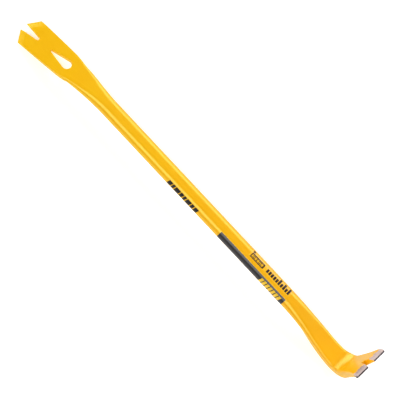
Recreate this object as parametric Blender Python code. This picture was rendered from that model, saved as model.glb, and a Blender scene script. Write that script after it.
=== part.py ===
"""Two-claw pry bar, 610 mm long.

One steel forging: a flat chisel claw with a V slot and a teardrop nail hole, a shaft with a
three-lobed section, and a hook claw with a V notch. Three thin printed films lie on the shaft.

The bar lies on its back: +X runs from the chisel to the hook, +Y across the claws and +Z the way
the hook opens. The origin is on the floor, under the middle of the bounding box.
"""

import math

import bmesh
import bpy
from mathutils import Matrix, Vector

# The spine is the line at the height of the front lobes' centres, from the chisel's tips to the
# hook's edge.
CHISEL_ANGLE = math.radians(14.0)
NECK_ANGLE = math.radians(15.5)
HOOK_ANGLE = math.radians(82.0)
BLADE_LENGTH = 0.0830
BLADE_BEND_RADIUS = 0.214
SHAFT_LENGTH = 0.3404
NECK_BEND_RADIUS = 0.150
NECK_LENGTH = 0.0430
HEEL_RADIUS = 0.080
HOOK_BEND_RADIUS = 0.024
CLAW_LENGTH = 0.0572

# Each part of the spine: its name, its length, the angle it turns through and its number of steps.
SPINE = (
    ("blade", BLADE_LENGTH, 0.0, 8),
    ("blade_bend", BLADE_BEND_RADIUS * CHISEL_ANGLE, -CHISEL_ANGLE, 10),
    ("shaft", SHAFT_LENGTH, 0.0, 8),
    ("neck_bend", NECK_BEND_RADIUS * NECK_ANGLE, -NECK_ANGLE, 7),
    ("neck", NECK_LENGTH, 0.0, 6),
    ("heel", HEEL_RADIUS * NECK_ANGLE, NECK_ANGLE, 4),
    ("hook_bend", HOOK_BEND_RADIUS * HOOK_ANGLE, HOOK_ANGLE, 12),
    ("claw", CLAW_LENGTH, 0.0, 9),
)

# The section at places along the spine: the part of the spine, how far along it (0 to 1), half the
# width, how far the front and the back lie from the spine, the corner radii of the front and of
# the back, and half the width of the flat on the back.
FULL = -1.0  # a back flat as wide as its corners leave it
SECTIONS = (
    ("blade", 0.00, 0.0220, 0.0012, 0.0012, 0.0007, 0.0007, FULL),
    ("blade", 0.92, 0.0188, 0.0030, 0.0032, 0.0009, 0.0010, FULL),
    ("blade_bend", 0.10, 0.0175, 0.0034, 0.0041, 0.0025, 0.0025, FULL),
    ("blade_bend", 0.22, 0.0165, 0.0038, 0.0051, 0.0036, 0.0036, 0.0110),
    ("blade_bend", 0.50, 0.0151, 0.0050, 0.0080, 0.0049, 0.0048, 0.0055),
    ("blade_bend", 1.00, 0.0127, 0.0066, 0.0130, 0.0078, 0.0058, 0.0006),
    ("shaft", 0.05, 0.0119, 0.0069, 0.0145, 0.0084, 0.0060, 0.0000),
    ("neck_bend", 0.10, 0.0119, 0.0069, 0.0145, 0.0084, 0.0060, 0.0000),
    ("neck_bend", 0.90, 0.0122, 0.0067, 0.0102, 0.0062, 0.0050, 0.0036),
    ("neck", 0.80, 0.0134, 0.0060, 0.0068, 0.0037, 0.0037, FULL),
    ("heel", 1.00, 0.0146, 0.0054, 0.0078, 0.0033, 0.0033, FULL),
    ("hook_bend", 0.50, 0.0158, 0.0064, 0.0074, 0.0030, 0.0030, FULL),
    ("claw", 0.00, 0.0164, 0.0058, 0.0058, 0.0027, 0.0027, FULL),
    ("claw", 0.50, 0.0196, 0.0046, 0.0042, 0.0019, 0.0019, FULL),
    ("claw", 0.75, 0.0224, 0.0039, 0.0032, 0.0013, 0.0013, FULL),
    ("claw", 1.00, 0.0266, 0.0028, 0.0028, 0.0006, 0.0006, FULL),
)
FLANK_HOLLOW = 0.0009  # depth of the groove between two lobes, on the shaft
CLAW_CORNER_RADIUS = 0.0036
CLAW_CORNER_STEPS = 5

# Segments along each stretch of half a section's outline.
FRONT_FLAT_STEPS = 2
FRONT_CORNER_STEPS = 6
FLANK_STEPS = 4
BACK_CORNER_STEPS = 5

# The chisel's end, in the blade's own plane: distances from its tips and across it.
SLOT_MOUTH_HALF = 0.0055
SLOT_ROOT_RADIUS = 0.0022
SLOT_ROOT_PLACE = 0.0243
HOLE_POINT_RADIUS = 0.0013
HOLE_POINT_PLACE = 0.0500
HOLE_ROUND_RADIUS = 0.0064
HOLE_ROUND_PLACE = 0.0762
TINE_SLOPE = 0.655  # how fast the cutting edges run back from the slot, per metre across
TINE_BEVEL_ANGLE = math.radians(13.0)
TINE_EDGE_THICKNESS = 0.0009

# The hook's end, in the claw's own plane: distances from its cutting edge and across it.
NOTCH_MOUTH_HALF = 0.0058
NOTCH_ROOT_RADIUS = 0.0021
NOTCH_ROOT_PLACE = 0.0170
CLAW_GRIND_LENGTH = 0.0078
CLAW_EDGE_THICKNESS = 0.0020

RIM_ANGLE = math.radians(45.0)  # bevel round the slot, the hole and the notch, on the front
RIM_WIDTH = 0.0010

# Printed films on the shaft: places along X from the chisel's tips, and round the section from the
# middle of the front flat, positive towards +Y.
FILM_GAP = 0.0003
FILM_THICKNESS = 0.0003
BLACK_LABEL_X = (0.3618, 0.4798)
BLACK_LABEL_AROUND = (-0.0213, -0.0064)
SIZE_LABEL_X = (0.4056, 0.4798)
SIZE_LABEL_AROUND = (-0.0016, 0.0096)
FLANK_PRINT_X = (0.2682, 0.3230)
FLANK_PRINT_AROUND = (-0.0182, -0.0090)

PAINT_YELLOW = (1.0, 0.50, 0.0)
LABEL_YELLOW = (1.0, 0.58, 0.02)
LABEL_BLACK = (0.012, 0.011, 0.012)
INK_BLACK = (0.016, 0.014, 0.012)
PAINT_ROUGHNESS = 0.35
PRINT_ROUGHNESS = 0.4

# How far the cutters reach past the steel: up and down, and in the plane of a claw.
CUTTER_REACH = 0.020
CUTTER_SPREAD = 0.040
CUTTER_OVERRUN = 0.005
ARC_STEPS = 14
MERGE_DISTANCE = 1e-7
STATION_GAP = 1e-4  # no section lies closer than this before the rounded corners
SHARP_ANGLE = math.radians(32.0)


def clear_scene():
    for obj in list(bpy.data.objects):
        bpy.data.objects.remove(obj, do_unlink=True)


def make_material(name, colour, roughness):
    material = bpy.data.materials.new(name)
    material.use_nodes = True
    shader = material.node_tree.nodes["Principled BSDF"]
    shader.inputs["Base Color"].default_value = (*colour, 1.0)
    shader.inputs["Roughness"].default_value = roughness
    return material


def make_object(name, mesh_data, material=None):
    """A mesh object from a bmesh, with smooth faces and sharp edges past SHARP_ANGLE."""
    bmesh.ops.recalc_face_normals(mesh_data, faces=mesh_data.faces)
    mesh = bpy.data.meshes.new(name)
    mesh_data.to_mesh(mesh)
    mesh_data.free()
    mesh.shade_smooth()
    mesh.set_sharp_from_angle(angle=SHARP_ANGLE)
    obj = bpy.data.objects.new(name, mesh)
    bpy.context.collection.objects.link(obj)
    if material:
        mesh.materials.append(material)
    return obj


# ---- the spine ----


def spine_starts():
    """The distance along the spine at which each of its parts starts."""
    starts = {}
    distance = 0.0
    for name, length, _, _ in SPINE:
        starts[name] = distance
        distance += length
    starts["end"] = distance
    return starts


def spine_frame(distance):
    """The spine's x, z and angle at a distance from the chisel's tips, measured along it."""
    x, z, angle = 0.0, 0.0, CHISEL_ANGLE
    for index, (_, length, turn, _) in enumerate(SPINE):
        is_last = index == len(SPINE) - 1
        step = distance if is_last else min(distance, length)
        bend = turn * step / length
        if turn:
            radius = length / turn
            x += radius * (math.sin(angle + bend) - math.sin(angle))
            z -= radius * (math.cos(angle + bend) - math.cos(angle))
        else:
            x += step * math.cos(angle)
            z += step * math.sin(angle)
        angle += bend
        distance -= step
        if distance <= 0.0:
            break
    return x, z, angle


def plane_at(distance):
    """The matrix that carries (along the spine, across, towards the front) to the bar's own frame."""
    x, z, angle = spine_frame(distance)
    return Matrix.Translation((x, 0.0, z)) @ Matrix.Rotation(-angle, 4, "Y")


# ---- the section ----


def section_at(distance, starts):
    """The section's measures at a distance along the spine, on a smooth curve through SECTIONS."""
    keys = []
    for part, along, width, front, back, front_radius, back_radius, flat in SECTIONS:
        length = next(item[1] for item in SPINE if item[0] == part)
        if flat == FULL:
            flat = width - back_radius
        measures = (width, front, back, front_radius, back_radius, flat)
        keys.append((starts[part] + along * length, measures))
    if distance <= keys[0][0]:
        return keys[0][1]
    for (low, first), (high, _) in zip(keys, keys[1:]):
        if distance <= high:
            mix = (distance - low) / (high - low)
            return tuple(blend(keys, index, low, high, mix) for index in range(len(first)))
    return keys[-1][1]


def blend(keys, index, low, high, mix):
    """One measure between two keys: a cubic whose slopes never overshoot the keys' values."""
    places = [place for place, _ in keys]
    values = [measures[index] for _, measures in keys]
    gaps = [second - first for first, second in zip(places, places[1:])]
    slopes = [(values[i + 1] - values[i]) / gap for i, gap in enumerate(gaps)]

    def tangent(i):
        if i == 0:
            return slopes[0]
        if i == len(keys) - 1:
            return slopes[-1]
        before, after = slopes[i - 1], slopes[i]
        return 0.0 if before * after <= 0.0 else 2.0 * before * after / (before + after)

    i = places.index(low)
    span = high - low
    start = (values[i] * (1 + 2 * mix) + tangent(i) * span * mix) * (1 - mix) ** 2
    end = (values[i + 1] * (3 - 2 * mix) + tangent(i + 1) * span * (mix - 1)) * mix**2
    return start + end


def half_outline(measures):
    """Half a section's outline as (across, front) points, from mid-front round to mid-back."""
    width, front, back, front_radius, back_radius, flat = measures
    front_centre = Vector((width - front_radius, front - front_radius))
    back_centre = Vector((flat, back_radius - back))
    line = back_centre - front_centre
    # The flank is the outer tangent of the two corner circles.
    lean = math.asin(max(-1.0, min(1.0, (front_radius - back_radius) / line.length)))
    normal_angle = math.atan2(line.y, line.x) + math.pi / 2 - lean
    lobe_share = max(0.0, 1.0 - flat / (width - back_radius))
    points = []
    for i in range(FRONT_FLAT_STEPS):
        points.append(Vector((front_centre.x * i / FRONT_FLAT_STEPS, front)))
    for i in range(FRONT_CORNER_STEPS + 1):
        turn = math.pi / 2 + (normal_angle - math.pi / 2) * i / FRONT_CORNER_STEPS
        points.append(front_centre + front_radius * Vector((math.cos(turn), math.sin(turn))))
    flank_start = points[-1]
    normal = Vector((math.cos(normal_angle), math.sin(normal_angle)))
    flank_end = back_centre + back_radius * normal
    for i in range(1, FLANK_STEPS):
        share = i / FLANK_STEPS
        hollow = FLANK_HOLLOW * lobe_share * math.sin(math.pi * share) ** 2
        points.append(flank_start.lerp(flank_end, share) - normal * hollow)
    for i in range(BACK_CORNER_STEPS + 1):
        turn = normal_angle + (-math.pi / 2 - normal_angle) * i / BACK_CORNER_STEPS
        points.append(back_centre + back_radius * Vector((math.cos(turn), math.sin(turn))))
    return points


def outline(measures):
    """The whole outline, from mid-front and down the -Y side. A lobe's back points coincide."""
    half = half_outline(measures)
    mirrored = [Vector((-point.x, point.y)) for point in half[1:]]
    return half[:1] + mirrored + [Vector((0.0, half[-1].y))] + half[:0:-1]


# ---- the forging ----


def stations(starts):
    """Distances along the spine at which the bar has a section."""
    places = [0.0]
    for name, length, _, steps in SPINE:
        for i in range(1, steps + 1):
            places.append(starts[name] + length * i / steps)
    corner_start = starts["end"] - CLAW_CORNER_RADIUS
    corner = []
    for i in range(CLAW_CORNER_STEPS + 1):
        turn = math.pi / 2 * i / CLAW_CORNER_STEPS
        corner.append(corner_start + CLAW_CORNER_RADIUS * math.sin(turn))
    return [place for place in places if place < corner_start - STATION_GAP] + corner


def rounded_end(distance, starts, measures):
    """The section's measures with the claw's outer corners rounded off."""
    reach = distance - (starts["end"] - CLAW_CORNER_RADIUS)
    if reach <= 0.0:
        return measures
    cut = CLAW_CORNER_RADIUS - math.sqrt(max(0.0, CLAW_CORNER_RADIUS**2 - reach**2))
    width, front, back, front_radius, back_radius, flat = measures
    return width - cut, front, back, front_radius, back_radius, flat - cut


def loft(starts):
    """The bar's outer surface, from section to section."""
    mesh_data = bmesh.new()
    rings = []
    for distance in stations(starts):
        place = plane_at(distance)
        points = outline(rounded_end(distance, starts, section_at(distance, starts)))
        rings.append([mesh_data.verts.new(place @ Vector((0.0, point.x, point.y))) for point in points])
    count = len(rings[0])
    for first, second in zip(rings, rings[1:]):
        for i in range(count):
            j = (i + 1) % count
            mesh_data.faces.new((first[i], first[j], second[j], second[i]))
    mesh_data.faces.new(rings[0])
    mesh_data.faces.new(reversed(rings[-1]))
    bmesh.ops.remove_doubles(mesh_data, verts=mesh_data.verts, dist=MERGE_DISTANCE)
    return mesh_data


def keyhole(near, near_half, far, far_radius, point_radius=0.0):
    """A clockwise outline in a claw's plane: straight sides that run tangent into a round end at far.

    It starts at near, from a width of twice near_half or, given a point_radius, from a small round end.
    """
    centre = Vector((far, 0.0))
    if point_radius:
        turn_start = math.pi / 2 + math.asin((far_radius - point_radius) / (far - near))
        upper = arc(Vector((near, 0.0)), point_radius, math.pi, turn_start, ARC_STEPS // 2)
    else:
        start = Vector((near, near_half))
        run = centre - start
        turn_start = math.pi / 2 - math.atan2(-run.y, run.x) + math.asin(far_radius / run.length)
        upper = [start]
    upper += arc(centre, far_radius, turn_start, 0.0, ARC_STEPS)
    lower = [Vector((point.x, -point.y)) for point in reversed(upper[:-1])]
    return upper + (lower[:-1] if point_radius else lower)


def open_slot(mouth_half, root_place, root_radius):
    """A V slot's outline, carried on past the claw's end."""
    widening = CUTTER_OVERRUN * (mouth_half - root_radius) / root_place
    return keyhole(-CUTTER_OVERRUN, mouth_half + widening, root_place, root_radius)


def arc(centre, radius, start, end, steps):
    turns = [start + (end - start) * i / steps for i in range(steps + 1)]
    return [centre + radius * Vector((math.cos(turn), math.sin(turn))) for turn in turns]


def prism(points, levels):
    """A closed prism over an outline in the XY plane, through levels of (height, growth)."""
    mesh_data = bmesh.new()
    rings = []
    for height, grow in levels:
        grown = [point + corner * grow for point, corner in zip(points, corner_offsets(points))]
        rings.append([mesh_data.verts.new((point.x, point.y, height)) for point in grown])
    count = len(points)
    for low, high in zip(rings, rings[1:]):
        for i in range(count):
            j = (i + 1) % count
            mesh_data.faces.new((low[i], low[j], high[j], high[i]))
    mesh_data.faces.new(rings[0])
    mesh_data.faces.new(reversed(rings[-1]))
    return mesh_data


def corner_offsets(points):
    """For each corner of a clockwise outline, the vector that moves both its sides outwards by one unit."""
    offsets = []
    for i, point in enumerate(points):
        before = (point - points[i - 1]).normalized()
        after = (points[(i + 1) % len(points)] - point).normalized()
        first = Vector((-before.y, before.x))
        second = Vector((-after.y, after.x))
        offsets.append((first + second) / (1.0 + first.dot(second)))
    return offsets


def add_cutter(bar, name, mesh_data, place):
    """Cuts a shape, given in a claw's own plane, from the bar."""
    mesh_data.transform(place)
    cutter = make_object(name, mesh_data)
    cutter.parent = bar
    cutter.hide_render = True
    cutter.display_type = "WIRE"
    cut = bar.modifiers.new(name, "BOOLEAN")
    cut.operation = "DIFFERENCE"
    cut.solver = "EXACT"
    cut.object = cutter


def through_cut(bar, name, points, place, front):
    """A slot or hole straight through a claw, with a bevel round its rim on the front."""
    rim_start = front - RIM_WIDTH / math.tan(RIM_ANGLE)
    top_grow = (CUTTER_REACH - rim_start) * math.tan(RIM_ANGLE)
    levels = ((-CUTTER_REACH, 0.0), (rim_start, 0.0), (CUTTER_REACH, top_grow))
    add_cutter(bar, name, prism(points, levels), place)


def cut_chisel(bar):
    """The blade's roof-shaped end, its ground tines, its V slot and its teardrop hole."""
    place = plane_at(0.0)
    peak = -SLOT_MOUTH_HALF * TINE_SLOPE
    roof = [
        Vector((peak + CUTTER_SPREAD * TINE_SLOPE, CUTTER_SPREAD)),
        Vector((peak, 0.0)),
        Vector((peak + CUTTER_SPREAD * TINE_SLOPE, -CUTTER_SPREAD)),
        Vector((-CUTTER_SPREAD, -CUTTER_SPREAD)),
        Vector((-CUTTER_SPREAD, CUTTER_SPREAD)),
    ]
    add_cutter(bar, "roof_cutter", prism(roof, ((-CUTTER_REACH, 0.0), (CUTTER_REACH, 0.0))), place)
    for name, hand in (("tine_grind_left", 1.0), ("tine_grind_right", -1.0)):
        edge_turn = Matrix.Rotation(-hand * math.atan(TINE_SLOPE), 4, "Z")
        lift = SECTIONS[0][4] - TINE_EDGE_THICKNESS
        edge_place = place @ Matrix.Translation((peak, 0.0, -lift)) @ edge_turn
        add_cutter(bar, name, wedge(TINE_BEVEL_ANGLE), edge_place)
    slot = open_slot(SLOT_MOUTH_HALF, SLOT_ROOT_PLACE, SLOT_ROOT_RADIUS)
    through_cut(bar, "slot_cutter", slot, place, blade_front_at(SLOT_ROOT_PLACE))
    hole = keyhole(HOLE_POINT_PLACE, 0.0, HOLE_ROUND_PLACE, HOLE_ROUND_RADIUS, HOLE_POINT_RADIUS)
    through_cut(bar, "hole_cutter", hole, place, blade_front_at(HOLE_ROUND_PLACE))


def blade_front_at(along):
    """How far the blade's flat front lies from the spine."""
    first, second = SECTIONS[0], SECTIONS[1]
    return first[3] + (second[3] - first[3]) * along / (second[1] * BLADE_LENGTH)


def wedge(angle):
    """A wedge whose lower face passes through the Y axis and rises with X."""
    mesh_data = bmesh.new()
    rise = math.tan(angle)
    low, high = -CUTTER_OVERRUN, CUTTER_SPREAD
    profile = ((low, low * rise), (high, high * rise), (high, CUTTER_SPREAD), (low, CUTTER_SPREAD))
    sides = []
    for across in (-CUTTER_SPREAD, CUTTER_SPREAD):
        sides.append([mesh_data.verts.new((x, across, z)) for x, z in profile])
    for i in range(4):
        j = (i + 1) % 4
        mesh_data.faces.new((sides[0][i], sides[0][j], sides[1][j], sides[1][i]))
    mesh_data.faces.new(sides[0])
    mesh_data.faces.new(reversed(sides[1]))
    return mesh_data


def cut_hook(bar, starts):
    """The hook claw's ground edge and its V notch."""
    place = plane_at(starts["end"]) @ Matrix.Rotation(math.pi, 4, "Z")
    edge_back = SECTIONS[-1][4]
    grind_front = section_at(starts["end"] - CLAW_GRIND_LENGTH, starts)[1]
    angle = math.atan((grind_front + edge_back - CLAW_EDGE_THICKNESS) / CLAW_GRIND_LENGTH)
    lift = Matrix.Translation((0.0, 0.0, CLAW_EDGE_THICKNESS - edge_back))
    add_cutter(bar, "claw_grind", wedge(angle), place @ lift)
    notch = open_slot(NOTCH_MOUTH_HALF, NOTCH_ROOT_PLACE, NOTCH_ROOT_RADIUS)
    root_front = section_at(starts["end"] - NOTCH_ROOT_PLACE, starts)[1]
    through_cut(bar, "notch_cutter", notch, place, root_front)


def make_bar(starts):
    paint = make_material("yellow_paint", PAINT_YELLOW, PAINT_ROUGHNESS)
    bar = make_object("forged_bar", loft(starts), paint)
    cut_chisel(bar)
    cut_hook(bar, starts)
    return bar


# ---- the printed films ----


def shaft_walk(starts):
    """The shaft's outline as (distance round it, point, normal), up the -Y side and over."""
    half = half_outline(section_at(starts["shaft"] + SHAFT_LENGTH / 2, starts))
    points = [Vector((-point.x, point.y)) for point in reversed(half)] + half[1:]
    middle = len(half) - 1
    walk = []
    for i, point in enumerate(points):
        along = (points[min(i + 1, len(points) - 1)] - points[max(i - 1, 0)]).normalized()
        walk.append([0.0, point, Vector((-along.y, along.x))])
    for i in range(middle + 1, len(points)):
        walk[i][0] = walk[i - 1][0] + (points[i] - points[i - 1]).length
    for i in range(middle - 1, -1, -1):
        walk[i][0] = walk[i + 1][0] - (points[i + 1] - points[i]).length
    return walk


def walk_point(walk, around):
    """The point and normal at a distance round the shaft."""
    for first, second in zip(walk, walk[1:]):
        if first[0] <= around <= second[0]:
            share = (around - first[0]) / (second[0] - first[0])
            return first[1].lerp(second[1], share), first[2].lerp(second[2], share).normalized()
    return walk[-1][1], walk[-1][2]


def make_film(name, starts, along, around, material):
    """A thin film that follows the corners of the shaft's section, clear of it by FILM_GAP."""
    walk = shaft_walk(starts)
    corners = [entry[0] for entry in walk if around[0] < entry[0] < around[1]]
    _, z, _ = spine_frame(starts["shaft"])
    inner, outer = [], []
    for place in [around[0]] + corners + [around[1]]:
        point, normal = walk_point(walk, place)
        inner.append(point + normal * FILM_GAP)
        outer.append(point + normal * (FILM_GAP + FILM_THICKNESS))
    profile = inner + outer[::-1]
    mesh_data = bmesh.new()
    ends = [[mesh_data.verts.new((x, point.x, z + point.y)) for point in profile] for x in along]
    count = len(profile)
    for i in range(count):
        j = (i + 1) % count
        mesh_data.faces.new((ends[0][i], ends[0][j], ends[1][j], ends[1][i]))
    for end in ends:
        for i in range(len(inner) - 1):
            mesh_data.faces.new((end[i], end[i + 1], end[count - 2 - i], end[count - 1 - i]))
    return make_object(name, mesh_data, material)


def set_on_floor(bar, films):
    """Moves the whole bar so that the origin is under the middle of its bounding box, on the floor."""
    bpy.context.view_layer.update()
    finished = bar.evaluated_get(bpy.context.evaluated_depsgraph_get())
    corners = [finished.matrix_world @ Vector(corner) for corner in finished.bound_box]
    low = Vector(min(corner[axis] for corner in corners) for axis in range(3))
    high = Vector(max(corner[axis] for corner in corners) for axis in range(3))
    shift = Vector(((low.x + high.x) / 2, 0.0, low.z))
    for obj in [bar] + films:
        obj.location = -shift


def main():
    clear_scene()
    starts = spine_starts()
    bar = make_bar(starts)
    black = make_material("black_print", LABEL_BLACK, PRINT_ROUGHNESS)
    yellow = make_material("label_yellow", LABEL_YELLOW, PRINT_ROUGHNESS)
    ink = make_material("flank_ink", INK_BLACK, PRINT_ROUGHNESS)
    films = [
        make_film("black_label", starts, BLACK_LABEL_X, BLACK_LABEL_AROUND, black),
        make_film("size_label", starts, SIZE_LABEL_X, SIZE_LABEL_AROUND, yellow),
        make_film("flank_print", starts, FLANK_PRINT_X, FLANK_PRINT_AROUND, ink),
    ]
    set_on_floor(bar, films)


main()
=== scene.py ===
"""The visual model of the two-claw pry bar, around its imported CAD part.

The CAD forging is replaced by a finer mesh made from the same section formulas, and the CAD films by
thinner ones that lie on it. The bar rests on its back: +X from the chisel to the hook, +Y across the
claws and +Z up. Units are metres.
"""

import math

import bmesh
import bpy
from mathutils import Matrix, Vector


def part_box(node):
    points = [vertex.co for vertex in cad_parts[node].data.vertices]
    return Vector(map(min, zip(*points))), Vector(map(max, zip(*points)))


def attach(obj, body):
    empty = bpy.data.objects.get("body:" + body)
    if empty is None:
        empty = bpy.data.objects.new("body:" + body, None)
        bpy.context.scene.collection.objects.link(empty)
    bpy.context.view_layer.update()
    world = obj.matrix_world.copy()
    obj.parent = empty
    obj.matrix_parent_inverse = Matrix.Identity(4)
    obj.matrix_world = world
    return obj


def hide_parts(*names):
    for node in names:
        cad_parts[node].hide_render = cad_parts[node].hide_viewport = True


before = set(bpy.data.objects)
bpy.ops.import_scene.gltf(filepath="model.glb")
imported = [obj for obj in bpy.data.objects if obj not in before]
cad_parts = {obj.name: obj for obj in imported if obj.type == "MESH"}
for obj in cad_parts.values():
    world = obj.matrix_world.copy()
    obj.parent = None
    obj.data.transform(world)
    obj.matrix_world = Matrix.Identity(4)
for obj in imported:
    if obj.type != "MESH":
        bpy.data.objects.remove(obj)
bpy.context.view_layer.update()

# ---- measures of the forging, as in the CAD ----
# The shaft and the hook claw are up to 0.1 mm shorter here and half the claw's width is 0.2 mm less,
# so that the finer mesh stays inside the CAD's box.

CHISEL_ANGLE = math.radians(14.0)
NECK_ANGLE = math.radians(15.5)
HOOK_ANGLE = math.radians(82.0)
BLADE_LENGTH = 0.0830
BLADE_BEND_RADIUS = 0.214
SHAFT_LENGTH = 0.3403
NECK_BEND_RADIUS = 0.150
NECK_LENGTH = 0.0430
HEEL_RADIUS = 0.080
HOOK_BEND_RADIUS = 0.024
CLAW_LENGTH = 0.05719

# Each part of the spine: its name, its length, the angle it turns through and its number of steps.
SPINE = (
    ("blade", BLADE_LENGTH, 0.0, 26),
    ("blade_bend", BLADE_BEND_RADIUS * CHISEL_ANGLE, -CHISEL_ANGLE, 32),
    ("shaft", SHAFT_LENGTH, 0.0, 40),
    ("neck_bend", NECK_BEND_RADIUS * NECK_ANGLE, -NECK_ANGLE, 20),
    ("neck", NECK_LENGTH, 0.0, 16),
    ("heel", HEEL_RADIUS * NECK_ANGLE, NECK_ANGLE, 12),
    ("hook_bend", HOOK_BEND_RADIUS * HOOK_ANGLE, HOOK_ANGLE, 36),
    ("claw", CLAW_LENGTH, 0.0, 30),
)

# The section at places along the spine: the part of the spine, how far along it (0 to 1), half the
# width, how far the front and the back lie from the spine, the corner radii of the front and of
# the back, and half the width of the flat on the back.
FULL = -1.0  # a back flat as wide as its corners leave it
SECTIONS = (
    ("blade", 0.00, 0.0220, 0.0012, 0.0012, 0.0007, 0.0007, FULL),
    ("blade", 0.92, 0.0188, 0.0030, 0.0032, 0.0009, 0.0010, FULL),
    ("blade_bend", 0.10, 0.0175, 0.0034, 0.0041, 0.0025, 0.0025, FULL),
    ("blade_bend", 0.22, 0.0165, 0.0038, 0.0051, 0.0036, 0.0036, 0.0110),
    ("blade_bend", 0.50, 0.0151, 0.0050, 0.0080, 0.0049, 0.0048, 0.0055),
    ("blade_bend", 1.00, 0.0127, 0.0066, 0.0130, 0.0078, 0.0058, 0.0006),
    ("shaft", 0.05, 0.0119, 0.0069, 0.0145, 0.0084, 0.0060, 0.0000),
    ("neck_bend", 0.10, 0.0119, 0.0069, 0.0145, 0.0084, 0.0060, 0.0000),
    ("neck_bend", 0.90, 0.0122, 0.0067, 0.0102, 0.0062, 0.0050, 0.0036),
    ("neck", 0.80, 0.0134, 0.0060, 0.0068, 0.0037, 0.0037, FULL),
    ("heel", 1.00, 0.0146, 0.0054, 0.0078, 0.0033, 0.0033, FULL),
    ("hook_bend", 0.50, 0.0158, 0.0064, 0.0074, 0.0030, 0.0030, FULL),
    ("claw", 0.00, 0.0164, 0.0058, 0.0058, 0.0027, 0.0027, FULL),
    ("claw", 0.50, 0.0196, 0.0046, 0.0042, 0.0019, 0.0019, FULL),
    ("claw", 0.75, 0.0224, 0.0039, 0.0032, 0.0013, 0.0013, FULL),
    ("claw", 1.00, 0.0264, 0.0028, 0.0028, 0.0006, 0.0006, FULL),
)
FLANK_HOLLOW = 0.0009  # depth of the groove between two lobes, on the shaft
CLAW_CORNER_RADIUS = 0.0036
CLAW_CORNER_STEPS = 12
STATION_GAP = 1e-4  # no section lies closer than this before the rounded corners

# Segments along each stretch of half a section's outline.
FRONT_FLAT_STEPS = 4
FRONT_CORNER_STEPS = 14
FLANK_STEPS = 9
BACK_CORNER_STEPS = 12

# The chisel's end, in the blade's own plane: distances from its tips and across it.
SLOT_MOUTH_HALF = 0.0055
SLOT_ROOT_RADIUS = 0.0022
SLOT_ROOT_PLACE = 0.0243
HOLE_POINT_RADIUS = 0.0013
HOLE_POINT_PLACE = 0.0500
HOLE_ROUND_RADIUS = 0.0064
HOLE_ROUND_PLACE = 0.0762
TINE_SLOPE = 0.655  # how fast the cutting edges run back from the slot, per metre across
TINE_BEVEL_ANGLE = math.radians(13.0)
TINE_EDGE_THICKNESS = 0.0009

# The hook's end, in the claw's own plane: distances from its cutting edge and across it.
NOTCH_MOUTH_HALF = 0.0058
NOTCH_ROOT_RADIUS = 0.0021
NOTCH_ROOT_PLACE = 0.0170
CLAW_GRIND_LENGTH = 0.0078
CLAW_EDGE_THICKNESS = 0.0020

# The rounded rim of the slot, the hole and the notch: its radius on the front and on the back.
FRONT_RIM = 0.0010
BACK_RIM = 0.0005
RIM_STEPS = 5

# How far the cutters reach past the steel: up and down, and in the plane of a claw.
CUTTER_REACH = 0.020
CUTTER_SPREAD = 0.040
CUTTER_OVERRUN = 0.005
ARC_STEPS = 28
SHARP_ANGLE = math.radians(28.0)
MERGE_DISTANCE = 1e-7

# The faces at the hook's edge that show dark steel, its darkness partly a painted shade of the blunt edge:
# how far from the end they lie, how square to the claw the end faces stand, and how far out from the middle
# the side faces are.
END_FACE_DEPTH = 5e-5
END_FACE_COSINE = 0.9
EDGE_SIDE_DEPTH = 0.0052
EDGE_SIDE_PLACE = 0.0200
PAINT_SLOT = 0
EDGE_SLOT = 2

# ---- measures of the films and marks: distances from the chisel's tips, and round the shaft ----

LABEL_THICKNESS = 0.00010
MARK_THICKNESS = 0.00004
SEAT_GAP = 0.00002
LABEL_CORNER = 0.0006
LABEL_CORNER_STEPS = 5
MIDDLE_TOLERANCE = 1e-9  # how near to the middle a point of the shaft's outline counts as on it
FOLD_MARGIN = 1e-5  # no fold lies closer than this to a patch's side
FOLD_TOLERANCE = 1e-8

BLACK_LABEL_X = (0.3618, 0.4798)
BLACK_LABEL_AROUND = (-0.0213, -0.0064)
SIZE_LABEL_X = (0.4056, 0.4798)
SIZE_LABEL_AROUND = (-0.0016, 0.0096)

STRIPES_X = (0.4374, 0.4768)
STRIPES_AROUND = (-0.0172, -0.0090)
STRIPE_WIDTH = 0.0039
STRIPE_PITCH = 0.0052
STRIPE_SLANT = 0.0022

# The scale: bars along a row, each with its length as a share of the row's height.
SCALE_START = 0.4364
SCALE_AROUND = (-0.0002, 0.0084)
SCALE_BAR = 0.0031
SCALE_PITCH = 0.0042
SHORT_BAR = 0.62
LONG_BAR = 1.0
SCALE_LENGTHS = (SHORT_BAR,) * 5 + (LONG_BAR, SHORT_BAR) * 2 + (LONG_BAR,)

# The box: a frame around rows of dashes, with a square spot beside it.
BOX_X = (0.4082, 0.4310)
BOX_AROUND = (-0.0012, 0.0054)
BOX_LINE = 0.0014
DASH_ROWS = (0.0007, 0.0027)
DASH_LENGTHS = (0.0050, 0.0032, 0.0062, 0.0030)
DASH_HEIGHT = 0.0009
DASH_GAP = 0.0011
SPOT_X = (0.4080, 0.4112)
SPOT_AROUND = (0.0062, 0.0092)

FLANK_START = 0.2682
FLANK_AROUND = (-0.0172, -0.0092)
FLANK_WIDTHS = (0.0062, 0.0040, 0.0082, 0.0050, 0.0040, 0.0076, 0.0046, 0.0060)
FLANK_GAP = 0.0011
FLANK_SLANT = 0.0018

# ---- measures of the stage ----

FLOOR_HALF = 3.0
FLOOR_GLOW = 0.42

CAMERA_TILT = math.radians(20.0)  # from straight down
CAMERA_ROLL = math.radians(46.87)  # turns the bar's hook to the lower right of the picture
CAMERA_DISTANCE = 4.0
CAMERA_LENS = 285.1
CAMERA_AIM = Vector((0.0090, 0.0, 0.0276))
CAMERA_RISE = 0.0036  # moves the camera and its aim together, across the bar

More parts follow.
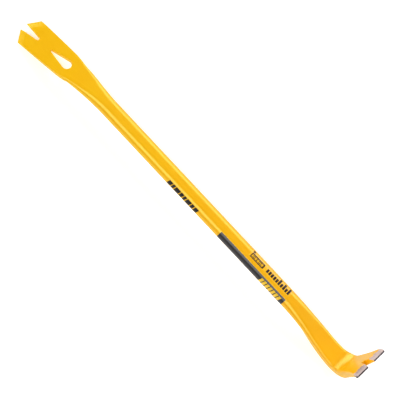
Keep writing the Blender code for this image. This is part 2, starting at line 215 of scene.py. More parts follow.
# How far round each strip light stands, from straight up towards +Y.
STRIP_ANGLES = {"strip_left": math.radians(52.0), "strip_right": math.radians(-36.0)}
STRIP_DISTANCE = 1.6
STRIP_LENGTH = 2.4
STRIP_WIDTH = 1.10
STRIP_SHIFT = 0.30  # towards the hook
STRIP_ENERGY = 22.8
END_DIRECTION = Vector((-0.95, 0.18, 0.07))  # from the bar's middle to the end light
END_DISTANCE = 2.0
END_SIZE = 1.6
END_ENERGY = 27.0

WORLD_FADE = (-0.10, 0.10)  # the heights between which the world's strength changes
WORLD_STRENGTH = (0.75, 0.09)  # below them and above them

# ---- colours ----


def linear(red, green, blue):
    """A colour given as sRGB values from 0 to 255, as a linear RGBA colour."""
    channels = []
    for value in (red, green, blue):
        share = value / 255.0
        channels.append(share / 12.92 if share <= 0.04045 else ((share + 0.055) / 1.055) ** 2.4)
    return (*channels, 1.0)


WHITE = linear(255, 255, 255)
PAINT_CHISEL_PAINTED_LIGHT = linear(255, 198, 0)  # painted light and shade: yellower towards the chisel, deeper orange towards the hook
PAINT_HOOK_PAINTED_SHADE = linear(255, 184, 0)
PAINT_THIN = linear(252, 174, 0)
PAINT_GLOSS = linear(255, 252, 130)
PAINT_COAT = linear(255, 247, 90)
STEEL_DARK = linear(132, 117, 114)
STEEL_LIGHT = linear(200, 181, 174)
STEEL_STAIN = linear(120, 108, 110)
EDGE_SHADE_DARK = linear(62, 55, 60)
EDGE_SHADE_LIGHT = linear(112, 102, 108)
FLOOR_DARK = linear(236, 236, 236)
FLOOR_LIGHT = linear(240, 240, 240)

# Each film or ink: its two colours, its range of roughness and the weight of its clear coat.
FILMS = {
    "yellow_film": (linear(254, 190, 6), linear(255, 198, 20), (0.28, 0.42), 0.5),
    "black_film": (linear(40, 36, 36), linear(56, 50, 50), (0.28, 0.42), 0.5),
    "dark_ink": (linear(40, 14, 4), linear(58, 24, 8), (0.40, 0.55), 0.0),
    "flank_ink": (linear(20, 16, 12), linear(36, 30, 24), (0.40, 0.55), 0.0),
    "yellow_ink": (linear(250, 200, 20), linear(255, 212, 40), (0.35, 0.50), 0.5),
}

# The stretch of X over which the paint's colour changes as painted light and shade, deeper towards the
# hook, the heights below the hook's edge between which it gives way to steel, and how ragged that border
# is.
PAINTED_SHADE_X = (-0.30, 0.25)
PAINT_BORDER_LOW = 0.0078
PAINT_BORDER_HIGH = 0.0058
PAINT_RAGGED = 0.0012

# The colour sockets of a Mix node, which share their names with its other sockets.
MIX_FIRST = 6
MIX_SECOND = 7
MIX_RESULT = 2


# ---- the spine and the section ----


def spine_starts():
    """The distance along the spine at which each of its parts starts."""
    starts = {}
    distance = 0.0
    for name, length, _, _ in SPINE:
        starts[name] = distance
        distance += length
    starts["end"] = distance
    return starts


STARTS = spine_starts()


def spine_frame(distance):
    """The spine's x, z and angle at a distance from the chisel's tips, measured along it."""
    x, z, angle = 0.0, 0.0, CHISEL_ANGLE
    for index, (_, length, turn, _) in enumerate(SPINE):
        is_last = index == len(SPINE) - 1
        step = distance if is_last else min(distance, length)
        bend = turn * step / length
        if turn:
            radius = length / turn
            x += radius * (math.sin(angle + bend) - math.sin(angle))
            z -= radius * (math.cos(angle + bend) - math.cos(angle))
        else:
            x += step * math.cos(angle)
            z += step * math.sin(angle)
        angle += bend
        distance -= step
        if distance <= 0.0:
            break
    return x, z, angle


def plane_at(distance):
    """The matrix that carries (along the spine, across, towards the front) to the bar's own frame."""
    x, z, angle = spine_frame(distance)
    return Matrix.Translation((x, 0.0, z)) @ Matrix.Rotation(-angle, 4, "Y")


def section_keys():
    """The places of SECTIONS along the spine, and their measures."""
    keys = []
    for part, along, width, front, back, front_radius, back_radius, flat in SECTIONS:
        length = next(item[1] for item in SPINE if item[0] == part)
        if flat == FULL:
            flat = width - back_radius
        measures = (width, front, back, front_radius, back_radius, flat)
        keys.append((STARTS[part] + along * length, measures))
    return keys


KEYS = section_keys()


def blend_keys(index, low, high, mix):
    """One measure between two keys: a cubic whose slopes never overshoot the keys' values."""
    places = [place for place, _ in KEYS]
    values = [measures[index] for _, measures in KEYS]
    gaps = [second - first for first, second in zip(places, places[1:])]
    slopes = [(values[i + 1] - values[i]) / gap for i, gap in enumerate(gaps)]

    def tangent(i):
        if i == 0:
            return slopes[0]
        if i == len(KEYS) - 1:
            return slopes[-1]
        before, after = slopes[i - 1], slopes[i]
        return 0.0 if before * after <= 0.0 else 2.0 * before * after / (before + after)

    i = places.index(low)
    span = high - low
    start = (values[i] * (1 + 2 * mix) + tangent(i) * span * mix) * (1 - mix) ** 2
    end = (values[i + 1] * (3 - 2 * mix) + tangent(i + 1) * span * (mix - 1)) * mix**2
    return start + end


def section_at(distance):
    """The section's measures at a distance along the spine, on a smooth curve through SECTIONS."""
    if distance <= KEYS[0][0]:
        return KEYS[0][1]
    for (low, first), (high, _) in zip(KEYS, KEYS[1:]):
        if distance <= high:
            mix = (distance - low) / (high - low)
            return tuple(blend_keys(index, low, high, mix) for index in range(len(first)))
    return KEYS[-1][1]


def front_and_back(distance):
    """How far the front and the back lie from the spine."""
    _, front, back, _, _, _ = section_at(distance)
    return front, back


def arc(centre, radius, start, end, steps):
    """Points along an arc, its ends included."""
    turns = [start + (end - start) * i / steps for i in range(steps + 1)]
    return [centre + radius * Vector((math.cos(turn), math.sin(turn))) for turn in turns]


def half_outline(measures):
    """Half a section's outline as (across, front) points, from mid-front round to mid-back."""
    width, front, back, front_radius, back_radius, flat = measures
    front_centre = Vector((width - front_radius, front - front_radius))
    back_centre = Vector((flat, back_radius - back))
    line = back_centre - front_centre
    lean = math.asin(max(-1.0, min(1.0, (front_radius - back_radius) / line.length)))
    normal_angle = math.atan2(line.y, line.x) + math.pi / 2 - lean
    lobe_share = max(0.0, 1.0 - flat / (width - back_radius))
    points = []
    for i in range(FRONT_FLAT_STEPS):
        points.append(Vector((front_centre.x * i / FRONT_FLAT_STEPS, front)))
    points += arc(front_centre, front_radius, math.pi / 2, normal_angle, FRONT_CORNER_STEPS)
    flank_start = points[-1]
    normal = Vector((math.cos(normal_angle), math.sin(normal_angle)))
    flank_end = back_centre + back_radius * normal
    for i in range(1, FLANK_STEPS):
        share = i / FLANK_STEPS
        hollow = FLANK_HOLLOW * lobe_share * math.sin(math.pi * share) ** 2
        points.append(flank_start.lerp(flank_end, share) - normal * hollow)
    points += arc(back_centre, back_radius, normal_angle, -math.pi / 2, BACK_CORNER_STEPS)
    return points


def outline(measures):
    """The whole outline, from mid-front and down the -Y side. A lobe's back points coincide."""
    half = half_outline(measures)
    mirrored = [Vector((-point.x, point.y)) for point in half[1:]]
    return half[:1] + mirrored + [Vector((0.0, half[-1].y))] + half[:0:-1]


def stations():
    """Distances along the spine at which the bar has a section."""
    places = [0.0]
    for name, length, _, steps in SPINE:
        for i in range(1, steps + 1):
            places.append(STARTS[name] + length * i / steps)
    corner_start = STARTS["end"] - CLAW_CORNER_RADIUS
    corner = []
    for i in range(CLAW_CORNER_STEPS + 1):
        turn = math.pi / 2 * i / CLAW_CORNER_STEPS
        corner.append(corner_start + CLAW_CORNER_RADIUS * math.sin(turn))
    return [place for place in places if place < corner_start - STATION_GAP] + corner


def rounded_end(distance, measures):
    """The section's measures with the claw's outer corners rounded off."""
    reach = distance - (STARTS["end"] - CLAW_CORNER_RADIUS)
    if reach <= 0.0:
        return measures
    cut = CLAW_CORNER_RADIUS - math.sqrt(max(0.0, CLAW_CORNER_RADIUS**2 - reach**2))
    width, front, back, front_radius, back_radius, flat = measures
    return width - cut, front, back, front_radius, back_radius, flat - cut


# ---- meshes ----


def add_object(name, data):
    """A new object in the scene."""
    obj = bpy.data.objects.new(name, data)
    bpy.context.scene.collection.objects.link(obj)
    return obj


def smooth(mesh):
    """Gives a mesh smooth faces, with sharp edges past an angle."""
    mesh.shade_smooth()
    mesh.set_sharp_from_angle(angle=SHARP_ANGLE)


def mesh_object(name, mesh_data, materials):
    """A mesh object from a bmesh, which is used up."""
    bmesh.ops.recalc_face_normals(mesh_data, faces=mesh_data.faces)
    mesh = bpy.data.meshes.new(name)
    mesh_data.to_mesh(mesh)
    mesh_data.free()
    smooth(mesh)
    for material in materials:
        mesh.materials.append(material)
    return add_object(name, mesh)


def closed_mesh(rings):
    """A closed bmesh through rings of as many points each, with a cap at either end."""
    mesh_data = bmesh.new()
    loops = [[mesh_data.verts.new(point) for point in ring] for ring in rings]
    for low, high in zip(loops, loops[1:]):
        for i in range(len(low)):
            j = (i + 1) % len(low)
            mesh_data.faces.new((low[i], low[j], high[j], high[i]))
    mesh_data.faces.new(loops[0])
    mesh_data.faces.new(reversed(loops[-1]))
    return mesh_data


def loft():
    """The bar's outer surface, from section to section."""
    rings = []
    for distance in stations():
        place = plane_at(distance)
        points = outline(rounded_end(distance, section_at(distance)))
        rings.append([place @ Vector((0.0, point.x, point.y)) for point in points])
    mesh_data = closed_mesh(rings)
    bmesh.ops.remove_doubles(mesh_data, verts=mesh_data.verts, dist=MERGE_DISTANCE)
    return mesh_data


# ---- the cuts ----


def keyhole(near, near_half, far, far_radius, point_radius=0.0):
    """A clockwise outline in a claw's plane: straight sides that run tangent into a round end at far.

    It starts at near, from a width of twice near_half or, given a point_radius, from a small round end.
    """
    centre = Vector((far, 0.0))
    if point_radius:
        turn_start = math.pi / 2 + math.asin((far_radius - point_radius) / (far - near))
        upper = arc(Vector((near, 0.0)), point_radius, math.pi, turn_start, ARC_STEPS // 2)
    else:
        start = Vector((near, near_half))
        run = centre - start
        turn_start = math.pi / 2 - math.atan2(-run.y, run.x) + math.asin(far_radius / run.length)
        upper = [start]
    upper += arc(centre, far_radius, turn_start, 0.0, ARC_STEPS)
    lower = [Vector((point.x, -point.y)) for point in reversed(upper[:-1])]
    return upper + (lower[:-1] if point_radius else lower)


def open_slot(mouth_half, root_place, root_radius):
    """A V slot's outline, carried on past the claw's end."""
    widening = CUTTER_OVERRUN * (mouth_half - root_radius) / root_place
    return keyhole(-CUTTER_OVERRUN, mouth_half + widening, root_place, root_radius)


def corner_offsets(points):
    """For each corner of a clockwise outline, the vector that moves both its sides outwards by one unit."""
    offsets = []
    for i, point in enumerate(points):
        before = (point - points[i - 1]).normalized()
        after = (points[(i + 1) % len(points)] - point).normalized()
        first = Vector((-before.y, before.x))
        second = Vector((-after.y, after.x))
        offsets.append((first + second) / (1.0 + first.dot(second)))
    return offsets


def prism(points, levels):
    """A closed prism over an outline in the XY plane, through levels of (height, growth)."""
    rings = []
    for height, grow in levels:
        grown = [point + corner * grow for point, corner in zip(points, corner_offsets(points))]
        rings.append([(point.x, point.y, height) for point in grown])
    return closed_mesh(rings)


def wedge(angle):
    """A wedge whose lower face passes through the Y axis and rises with X."""
    rise = math.tan(angle)
    low, high = -CUTTER_OVERRUN, CUTTER_SPREAD
    profile = ((low, low * rise), (high, high * rise), (high, CUTTER_SPREAD), (low, CUTTER_SPREAD))
    return closed_mesh([[(x, across, z) for x, z in profile] for across in (-CUTTER_SPREAD, CUTTER_SPREAD)])


def cut(bar, mesh_data, place, material):
    """Cuts a shape, given in a claw's own plane, from the bar. The cut faces take the material."""
    mesh_data.transform(place)
    cutter = mesh_object("cutter", mesh_data, [material])
    modifier = bar.modifiers.new("cut", "BOOLEAN")
    modifier.operation = "DIFFERENCE"
    modifier.solver = "EXACT"
    modifier.material_mode = "TRANSFER"
    modifier.object = cutter
    return cutter


def through_cut(bar, points, place, depths, material):
    """Cuts an outline straight through the bar and rounds its rims at the front's and the back's depth."""
    front, back = depths
    levels = [(-CUTTER_REACH, BACK_RIM)]
    turns = [math.pi / 2 * i / RIM_STEPS for i in range(RIM_STEPS + 1)]
    for turn in turns:
        levels.append((-back + BACK_RIM - BACK_RIM * math.cos(turn), BACK_RIM * (1.0 - math.sin(turn))))
    for turn in turns:
        levels.append((front - FRONT_RIM + FRONT_RIM * math.sin(turn), FRONT_RIM * (1.0 - math.cos(turn))))
    levels.append((CUTTER_REACH, FRONT_RIM))
    return cut(bar, prism(points, levels), place, material)


def cut_chisel(bar, paint):
    """The blade's roof-shaped end, its ground tines, its V slot and its teardrop hole."""
    cutters = []
    place = plane_at(0.0)
    peak = -SLOT_MOUTH_HALF * TINE_SLOPE
    roof = [
        Vector((peak + CUTTER_SPREAD * TINE_SLOPE, CUTTER_SPREAD)),
        Vector((peak, 0.0)),
        Vector((peak + CUTTER_SPREAD * TINE_SLOPE, -CUTTER_SPREAD)),
        Vector((-CUTTER_SPREAD, -CUTTER_SPREAD)),
        Vector((-CUTTER_SPREAD, CUTTER_SPREAD)),
    ]
    cutters.append(cut(bar, prism(roof, ((-CUTTER_REACH, 0.0), (CUTTER_REACH, 0.0))), place, paint))
    lift = front_and_back(0.0)[1] - TINE_EDGE_THICKNESS
    for hand in (1.0, -1.0):
        edge_turn = Matrix.Rotation(-hand * math.atan(TINE_SLOPE), 4, "Z")
        edge_place = place @ Matrix.Translation((peak, 0.0, -lift)) @ edge_turn
        cutters.append(cut(bar, wedge(TINE_BEVEL_ANGLE), edge_place, paint))
    slot = open_slot(SLOT_MOUTH_HALF, SLOT_ROOT_PLACE, SLOT_ROOT_RADIUS)
    cutters.append(through_cut(bar, slot, place, front_and_back(SLOT_ROOT_PLACE), paint))
    hole = keyhole(HOLE_POINT_PLACE, 0.0, HOLE_ROUND_PLACE, HOLE_ROUND_RADIUS, HOLE_POINT_RADIUS)
    hole_middle = (HOLE_POINT_PLACE + HOLE_ROUND_PLACE) / 2
    cutters.append(through_cut(bar, hole, place, front_and_back(hole_middle), paint))
    return cutters


def cut_hook(bar, paint, steel):
    """The hook claw's ground edge and its V notch."""
    place = plane_at(STARTS["end"]) @ Matrix.Rotation(math.pi, 4, "Z")
    edge_back = front_and_back(STARTS["end"])[1]
    grind_front = front_and_back(STARTS["end"] - CLAW_GRIND_LENGTH)[0]
    angle = math.atan((grind_front + edge_back - CLAW_EDGE_THICKNESS) / CLAW_GRIND_LENGTH)
    lift = Matrix.Translation((0.0, 0.0, CLAW_EDGE_THICKNESS - edge_back))
    grind = cut(bar, wedge(angle), place @ lift, steel)
    notch = open_slot(NOTCH_MOUTH_HALF, NOTCH_ROOT_PLACE, NOTCH_ROOT_RADIUS)
    depths = front_and_back(STARTS["end"] - NOTCH_ROOT_PLACE)
    return [grind, through_cut(bar, notch, place, depths, paint)]


def apply_modifiers(obj):
    """Puts the modifiers' result in the object's own mesh."""
    bpy.context.view_layer.update()
    finished = obj.evaluated_get(bpy.context.evaluated_depsgraph_get())
    mesh = bpy.data.meshes.new_from_object(finished)
    mesh.name = obj.name
    obj.modifiers.clear()
    obj.data = mesh
    smooth(mesh)


def mark_edge_faces(bar):
    """Gives the hook's thin end face, and the painted sides just below it, the edge material, whose dark
    colour paints in shade.
    """
    x, z, angle = spine_frame(STARTS["end"])
    end = Vector((x, 0.0, z))
    along = Vector((math.cos(angle), 0.0, math.sin(angle)))
    for polygon in bar.data.polygons:
        depth = (end - polygon.center).dot(along)
        on_end = depth < END_FACE_DEPTH and polygon.normal.dot(along) > END_FACE_COSINE
        # painted shade: the painted sides near the end take the dark edge material
        on_side = depth < EDGE_SIDE_DEPTH and abs(polygon.center.y) > EDGE_SIDE_PLACE
        if on_end or (on_side and polygon.material_index == PAINT_SLOT):
            polygon.material_index = EDGE_SLOT


def make_bar(paint, steel, dark_edge_and_shade):
    """The whole forging. Its materials come in the order of PAINT_SLOT, the ground steel and EDGE_SLOT."""
    bar = mesh_object("bar_steel", loft(), [paint, steel, dark_edge_and_shade])
    cutters = cut_chisel(bar, paint) + cut_hook(bar, paint, steel)
    apply_modifiers(bar)
    for cutter in cutters:
        bpy.data.objects.remove(cutter)
    mark_edge_faces(bar)
    return bar


# ---- printed films and marks, laid on the shaft ----


def shaft_walk():
    """The shaft's outline as (distance round it, point, normal), up the -Y side and over.

    The distance is 0 at the middle of the front and below 0 on the -Y side.
    """
    half = half_outline(section_at(STARTS["shaft"] + SHAFT_LENGTH / 2))
    points = [Vector((-point.x, point.y)) for point in reversed(half)] + half[1:]
    steps = zip(points, points[1:])
    points = points[:1] + [second for first, second in steps if (second - first).length > MERGE_DISTANCE]
    middle = next(i for i, point in enumerate(points) if abs(point.x) < MIDDLE_TOLERANCE and point.y > 0.0)
    walk = []
    for i, point in enumerate(points):
        along = (points[min(i + 1, len(points) - 1)] - points[max(i - 1, 0)]).normalized()
        walk.append([0.0, point, Vector((-along.y, along.x))])
    for i in range(middle + 1, len(points)):
        walk[i][0] = walk[i - 1][0] + (points[i] - points[i - 1]).length
    for i in range(middle - 1, -1, -1):
        walk[i][0] = walk[i + 1][0] - (points[i + 1] - points[i]).length
    return walk


WALK = shaft_walk()


def walk_point(around):
    """The point and normal at a distance round the shaft, as (across, front) pairs."""
    for first, second in zip(WALK, WALK[1:]):
        if first[0] <= around <= second[0]:
            share = (around - first[0]) / (second[0] - first[0])
            return first[1].lerp(second[1], share), first[2].lerp(second[2], share).normalized()
    return WALK[-1][1], WALK[-1][2]


def on_shaft(along, around, lift):
    """A point over the shaft, from its place along X and its distance round the section."""
    point, normal = walk_point(around)
    raised = point + normal * lift
    return Vector((along, raised.x, spine_frame(STARTS["shaft"])[1] + raised.y))


def flat_patch(points):
    """A flat bmesh over an outline, with a fold wherever the shaft's outline has a corner."""
    patch = bmesh.new()
    patch.faces.new([patch.verts.new((along, around, 0.0)) for along, around in points])
    low = min(around for _, around in points) + FOLD_MARGIN
    high = max(around for _, around in points) - FOLD_MARGIN
    for fold in [entry[0] for entry in WALK if low < entry[0] < high]:
        bmesh.ops.bisect_plane(
            patch,
            geom=patch.verts[:] + patch.edges[:] + patch.faces[:],
            dist=FOLD_TOLERANCE,
            plane_co=(0.0, fold, 0.0),
            plane_no=(0.0, 1.0, 0.0),
        )
    return patch


def wrapped(name, outlines, lift, thickness, material):
    """Thin closed patches on the shaft, from outlines of (along X, round the section) points."""
    mesh_data = bmesh.new()
    for points in outlines:
        patch = flat_patch(points)
        lower, upper = {}, {}
        for vert in patch.verts:
            lower[vert] = mesh_data.verts.new(on_shaft(vert.co.x, vert.co.y, lift))
        for vert in patch.verts:
            upper[vert] = mesh_data.verts.new(on_shaft(vert.co.x, vert.co.y, lift + thickness))
        for face in patch.faces:
            mesh_data.faces.new([upper[vert] for vert in face.verts])
            mesh_data.faces.new([lower[vert] for vert in reversed(face.verts)])
        for edge in patch.edges:
            if edge.is_boundary:
                first, second = edge.verts
                mesh_data.faces.new((lower[first], lower[second], upper[second], upper[first]))
        patch.free()
    return mesh_object(name, mesh_data, [material])


def rounded_box(along, around):
    """A label's outline: a rectangle with rounded corners."""
    low_x, high_x = along[0] + LABEL_CORNER, along[1] - LABEL_CORNER
    low_y, high_y = around[0] + LABEL_CORNER, around[1] - LABEL_CORNER
    centres = ((high_x, high_y), (low_x, high_y), (low_x, low_y), (high_x, low_y))
    points = []
    for quarter, centre in enumerate(centres):
        start = math.pi / 2 * quarter
        points += arc(Vector(centre), LABEL_CORNER, start, start + math.pi / 2, LABEL_CORNER_STEPS)
    return [(point.x, point.y) for point in points]


def rectangle(along, around):
    return [(along[0], around[0]), (along[1], around[0]), (along[1], around[1]), (along[0], around[1])]


def slanted_bar(start, width, around, slant):
    """A parallelogram that leans along X by slant over its height."""
    low, high = around
    return [(start, low), (start + width, low), (start + width + slant, high), (start + slant, high)]


def stripe_marks():
    """A row of slanted stripes, as many as fit."""
    marks = []
    start = STRIPES_X[0]
    while start + STRIPE_WIDTH + STRIPE_SLANT <= STRIPES_X[1]:
        marks.append(slanted_bar(start, STRIPE_WIDTH, STRIPES_AROUND, STRIPE_SLANT))
        start += STRIPE_PITCH
    return marks


def scale_marks():
    """A row of long and short graduations."""
    low, high = SCALE_AROUND
    marks = []
    for i, share in enumerate(SCALE_LENGTHS):
        start = SCALE_START + i * SCALE_PITCH
        marks.append(rectangle((start, start + SCALE_BAR), (low, low + (high - low) * share)))
    return marks


def box_marks():
    """A small frame with rows of dashes, and a solid square beside it."""
    left, right = BOX_X
    low, high = BOX_AROUND
    marks = [
        rectangle(BOX_X, (low, low + BOX_LINE)),
        rectangle(BOX_X, (high - BOX_LINE, high)),
        rectangle((left, left + BOX_LINE), (low + BOX_LINE, high - BOX_LINE)),
        rectangle((right - BOX_LINE, right), (low + BOX_LINE, high - BOX_LINE)),
    ]
    for row in DASH_ROWS:
        start = left + BOX_LINE + DASH_GAP
        for length in DASH_LENGTHS:
            marks.append(rectangle((start, start + length), (row, row + DASH_HEIGHT)))
            start += length + DASH_GAP
    marks.append(rectangle(SPOT_X, SPOT_AROUND))
    return marks


def flank_marks():
    """A row of slanted blocks of different lengths."""
    marks = []
    start = FLANK_START
    for width in FLANK_WIDTHS:
        marks.append(slanted_bar(start, width, FLANK_AROUND, FLANK_SLANT))
        start += width + FLANK_GAP
    return marks


# ---- materials ----


class Material:
    """A procedural material, with short calls that add its nodes."""

    def __init__(self, name):
        self.material = bpy.data.materials.new(name)
        self.material.use_nodes = True
        self.tree = self.material.node_tree
        self.shader = self.tree.nodes["Principled BSDF"]
        self.coordinates = self.tree.nodes.new("ShaderNodeTexCoord").outputs["Object"]

    def set(self, **values):
        """Sets the shader's own sockets, named with _ for a space."""
        for name, value in values.items():
            self.shader.inputs[name.replace("_", " ")].default_value = value

    def add(self, kind, inputs, **values):
        """A node with the given values, and its inputs fed by other nodes' outputs or by values."""
        node = self.tree.nodes.new(kind)
        for name, value in values.items():
            setattr(node, name, value)
        for socket, value in inputs.items():
            if isinstance(value, bpy.types.NodeSocket):
                self.tree.links.new(value, node.inputs[socket])
            else:
                node.inputs[socket].default_value = value
        return node

    def stretched(self, scale):
        """Object coordinates scaled by a different factor along each axis."""
        inputs = {"Scale": scale, "Vector": self.coordinates}
        return self.add("ShaderNodeMapping", inputs).outputs["Vector"]

    def noise(self, scale, detail, roughness=0.5, vector=None):
        """Noise from 0 to 1, in object coordinates or over another vector."""
        inputs = {"Scale": scale, "Detail": detail, "Roughness": roughness}
        inputs["Vector"] = vector or self.coordinates
        return self.add("ShaderNodeTexNoise", inputs).outputs["Fac"]

    def remap(self, value, source, target=(0.0, 1.0)):
        """The value carried smoothly from one range to another, and held at its ends."""
        inputs = {"Value": value, "From Min": source[0], "From Max": source[1]}
        inputs.update({"To Min": target[0], "To Max": target[1]})
        return self.add("ShaderNodeMapRange", inputs, interpolation_type="SMOOTHSTEP").outputs["Result"]

    def total(self, first, second):
        return self.add("ShaderNodeMath", {0: first, 1: second}, operation="ADD").outputs["Value"]

    def mix_colour(self, factor, first, second):
        inputs = {"Factor": factor, MIX_FIRST: first, MIX_SECOND: second}
        return self.add("ShaderNodeMix", inputs, data_type="RGBA").outputs[MIX_RESULT]

    def reach(self, along):
        """How far a point lies along a direction, in object coordinates."""
        inputs = {0: self.coordinates, 1: along}
        return self.add("ShaderNodeVectorMath", inputs, operation="DOT_PRODUCT").outputs["Value"]

    def bump(self, height, distance, strength, under=None):
        """A bumped normal, on top of the one that another bump gives."""
        inputs = {"Height": height, "Distance": distance, "Strength": strength}
        if under is not None:
            inputs["Normal"] = under
        return self.add("ShaderNodeBump", inputs).outputs["Normal"]

    def finish(self, colour, roughness, normal=None, metallic=None):
        """Feeds the shader, and gives the finished material."""
        targets = {"Base Color": colour, "Roughness": roughness, "Normal": normal, "Metallic": metallic}
        for name, value in targets.items():
            if value is not None:
                self.tree.links.new(value, self.shader.inputs[name])
        return self.material


def make_paint():
    """Glossy enamel over a forged surface: orange peel, soft forging waves, slight colour drift and painted
    shade along X.
    """
    paint = Material("yellow_enamel")
    # painted light and shade: the colour deepens from the chisel towards the hook along X
    along = paint.remap(paint.reach((1.0, 0.0, 0.0)), PAINTED_SHADE_X)
    colour = paint.mix_colour(along, PAINT_CHISEL_PAINTED_LIGHT, PAINT_HOOK_PAINTED_SHADE)
    drift = paint.remap(paint.noise(scale=18.0, detail=3.0), (0.35, 0.68), (0.0, 0.25))
    colour = paint.mix_colour(drift, colour, PAINT_THIN)
    mottle = paint.remap(paint.noise(scale=160.0, detail=5.0, roughness=0.6), (0.50, 0.75), (0.0, 0.08))
    colour = paint.mix_colour(mottle, colour, PAINT_THIN)
    roughness = paint.remap(paint.noise(scale=90.0, detail=3.0), (0.3, 0.7), (0.29, 0.36))
    waves = paint.bump(paint.noise(scale=45.0, detail=2.0), distance=0.0004, strength=0.15)
    peel = paint.bump(paint.noise(scale=750.0, detail=1.0), distance=0.00004, strength=0.5, under=waves)
    paint.set(Specular_Tint=PAINT_GLOSS, Specular_IOR_Level=0.8, IOR=1.8)
    paint.set(Coat_Weight=0.6, Coat_Roughness=0.26, Coat_Tint=PAINT_COAT)
    return paint.finish(colour, roughness, peel)


def make_steel(top):
    """Bare steel, ground across the claw: scratches along Y, stains, and a ragged border of paint."""
    steel = Material("ground_steel")
    across = steel.stretched((2600.0, 60.0, 2600.0))
    lines = steel.noise(scale=1.0, detail=6.0, roughness=0.7, vector=across)
    stains = steel.remap(steel.noise(scale=220.0, detail=4.0), (0.52, 0.75), (0.0, 0.5))
    colour = steel.mix_colour(lines, STEEL_DARK, STEEL_LIGHT)
    colour = steel.mix_colour(stains, colour, STEEL_STAIN)
    ragged = steel.remap(steel.noise(scale=260.0, detail=5.0), (0.3, 0.7), (-PAINT_RAGGED, PAINT_RAGGED))
    height = steel.total(steel.reach((0.0, 0.0, 1.0)), ragged)
    bare = steel.remap(height, (top - PAINT_BORDER_LOW, top - PAINT_BORDER_HIGH))
    colour = steel.mix_colour(bare, PAINT_THIN, colour)
    roughness = steel.remap(lines, (0.3, 0.7), (0.34, 0.55))
    metallic = steel.remap(bare, (0.0, 1.0), (0.0, 0.85))
    return steel.finish(colour, roughness, steel.bump(lines, distance=0.00006, strength=0.7), metallic)


def make_dark_edge_and_shade():
    """The hook's blunt cutting edge: darker steel with painted shade, rolled and slightly burred."""
    steel = Material("dark_edge_and_shade")
    specks = steel.noise(scale=900.0, detail=4.0)
    # painted shade: dark steel colours stand in for the shade along the blunt edge
    colour = steel.mix_colour(specks, EDGE_SHADE_DARK, EDGE_SHADE_LIGHT)
    roughness = steel.remap(specks, (0.3, 0.7), (0.4, 0.6))
    steel.set(Metallic=0.7)
    return steel.finish(colour, roughness, steel.bump(specks, distance=0.0001, strength=0.6))


def make_film(name, low, high, roughness_range, coat):
    """Printed film or ink, with fine handling scuffs along the bar."""
    film = Material(name)
    along = film.stretched((120.0, 1500.0, 1500.0))
    scuffs = film.noise(scale=1.0, detail=5.0, roughness=0.7, vector=along)
    colour = film.mix_colour(film.remap(scuffs, (0.45, 0.75)), low, high)
    roughness = film.remap(scuffs, (0.3, 0.7), roughness_range)
    grain = film.bump(film.noise(scale=400.0, detail=2.0), distance=0.00003, strength=0.5)
    film.set(Coat_Weight=coat, Coat_Roughness=0.22)
    return film.finish(colour, roughness, grain)


def make_floor():
    """A pale matt floor with a little light of its own, so that it comes out near white."""
    floor = Material("pale_floor")
    grain = floor.noise(scale=40.0, detail=4.0)
    colour = floor.mix_colour(grain, FLOOR_DARK, FLOOR_LIGHT)
    floor.set(Emission_Color=WHITE, Emission_Strength=FLOOR_GLOW)
    return floor.finish(colour, floor.remap(grain, (0.3, 0.7), (0.75, 0.9)))


# ---- the pieces ----


def build():
    """Every piece, in the bar's own frame, under a short name."""
    bar = make_bar(make_paint(), make_steel(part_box("forged_bar")[1].z), make_dark_edge_and_shade())
    film = {name: make_film(name, *values) for name, values in FILMS.items()}
    black = [rounded_box(BLACK_LABEL_X, BLACK_LABEL_AROUND)]
    size = [rounded_box(SIZE_LABEL_X, SIZE_LABEL_AROUND)]
    on_label = SEAT_GAP + LABEL_THICKNESS + SEAT_GAP
    return {
        "bar": bar,
        "black_film": wrapped("black_film", black, SEAT_GAP, LABEL_THICKNESS, film["black_film"]),
        "size_film": wrapped("size_film", size, SEAT_GAP, LABEL_THICKNESS, film["yellow_film"]),
        "stripes": wrapped("film_stripes", stripe_marks(), on_label, MARK_THICKNESS, film["yellow_ink"]),
        "scale": wrapped("size_scale", scale_marks(), on_label, MARK_THICKNESS, film["dark_ink"]),
        "box": wrapped("size_box", box_marks(), on_label, MARK_THICKNESS, film["dark_ink"]),
        "flank": wrapped("flank_blocks", flank_marks(), SEAT_GAP, MARK_THICKNESS, film["flank_ink"]),
    }


def set_in_frame(pieces):
    """Moves every mesh from the bar's own frame to the CAD's, by the forging's middle in X and its foot."""
    low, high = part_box("forged_bar")
    points = [vertex.co for vertex in pieces["bar"].data.vertices]
    own_low = [min(point[axis] for point in points) for axis in (0, 2)]
    own_high = max(point.x for point in points)
    shift = Vector(((low.x + high.x - own_low[0] - own_high) / 2, 0.0, low.z - own_low[1]))
    for piece in pieces.values():
        piece.data.transform(Matrix.Translation(shift))


pieces = build()
set_in_frame(pieces)
for piece in pieces.values():
    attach(piece, "root")
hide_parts("forged_bar")
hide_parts("black_label")
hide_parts("size_label")
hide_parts("flank_print")

# ---- the stage ----


def make_stage_floor():
    """A floor that doesn't show in glossy reflections. The world's bright lower half stands in for it."""
    mesh_data = bmesh.new()
    bmesh.ops.create_grid(mesh_data, x_segments=2, y_segments=2, size=FLOOR_HALF)
    floor = mesh_object("floor", mesh_data, [make_floor()])
    floor.visible_glossy = False
    return floor


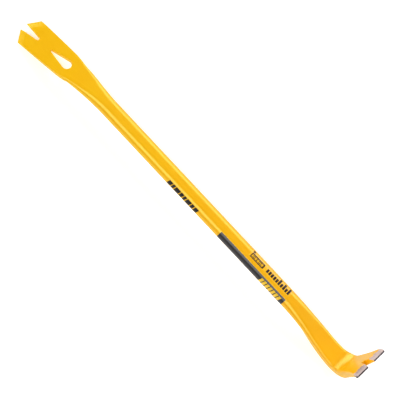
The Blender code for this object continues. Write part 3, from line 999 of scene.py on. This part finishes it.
def add_camera():
    """The camera, above the bar and towards -Y, with the picture's up turned away from the bar's."""
    along = Vector((1.0, 0.0, 0.0))
    across = Vector((0.0, math.cos(CAMERA_TILT), math.sin(CAMERA_TILT)))
    back = along.cross(across)
    right = along * math.cos(CAMERA_ROLL) + across * math.sin(CAMERA_ROLL)
    up = across * math.cos(CAMERA_ROLL) - along * math.sin(CAMERA_ROLL)
    data = bpy.data.cameras.new("camera")
    data.lens = CAMERA_LENS
    camera = add_object("camera", data)
    position = CAMERA_AIM + across * CAMERA_RISE + back * CAMERA_DISTANCE
    camera.matrix_world = Matrix.Translation(position) @ Matrix((right, up, back)).transposed().to_4x4()
    bpy.context.scene.camera = camera


def add_light(name, place, sizes, energy):
    """A soft rectangular light that shines along its own -Z."""
    data = bpy.data.lights.new(name, "AREA")
    data.shape = "RECTANGLE"
    data.size, data.size_y = sizes
    data.energy = energy
    add_object(name, data).matrix_world = place


def add_lights():
    """Two long strips parallel to the bar, one on either side, and a square light beyond the chisel."""
    along = Vector((1.0, 0.0, 0.0))
    for name, angle in STRIP_ANGLES.items():
        out = Vector((0.0, math.sin(angle), math.cos(angle)))
        turn = Matrix((along, out.cross(along), out)).transposed().to_4x4()
        place = Matrix.Translation(out * STRIP_DISTANCE + along * STRIP_SHIFT) @ turn
        add_light(name, place, (STRIP_LENGTH, STRIP_WIDTH), STRIP_ENERGY)
    out = END_DIRECTION.normalized()
    turn = out.to_track_quat("Z", "Y").to_matrix().to_4x4()
    add_light("end_light", Matrix.Translation(out * END_DISTANCE) @ turn, (END_SIZE, END_SIZE), END_ENERGY)


def add_world():
    """A white world, bright below the horizon and dim above it."""
    world = bpy.data.worlds.new("world")
    world.use_nodes = True
    tree = world.node_tree
    background = tree.nodes["Background"]
    heading = tree.nodes.new("ShaderNodeSeparateXYZ")
    shade = tree.nodes.new("ShaderNodeMapRange")
    tree.links.new(tree.nodes.new("ShaderNodeTexCoord").outputs["Generated"], heading.inputs["Vector"])
    tree.links.new(heading.outputs["Z"], shade.inputs["Value"])
    for socket, value in zip(("From Min", "From Max", "To Min", "To Max"), WORLD_FADE + WORLD_STRENGTH):
        shade.inputs[socket].default_value = value
    tree.links.new(shade.outputs["Result"], background.inputs["Strength"])
    background.inputs["Color"].default_value = WHITE
    bpy.context.scene.world = world


floor = make_stage_floor()
add_camera()
add_lights()
add_world()
bpy.context.scene.view_settings.view_transform = "Standard"
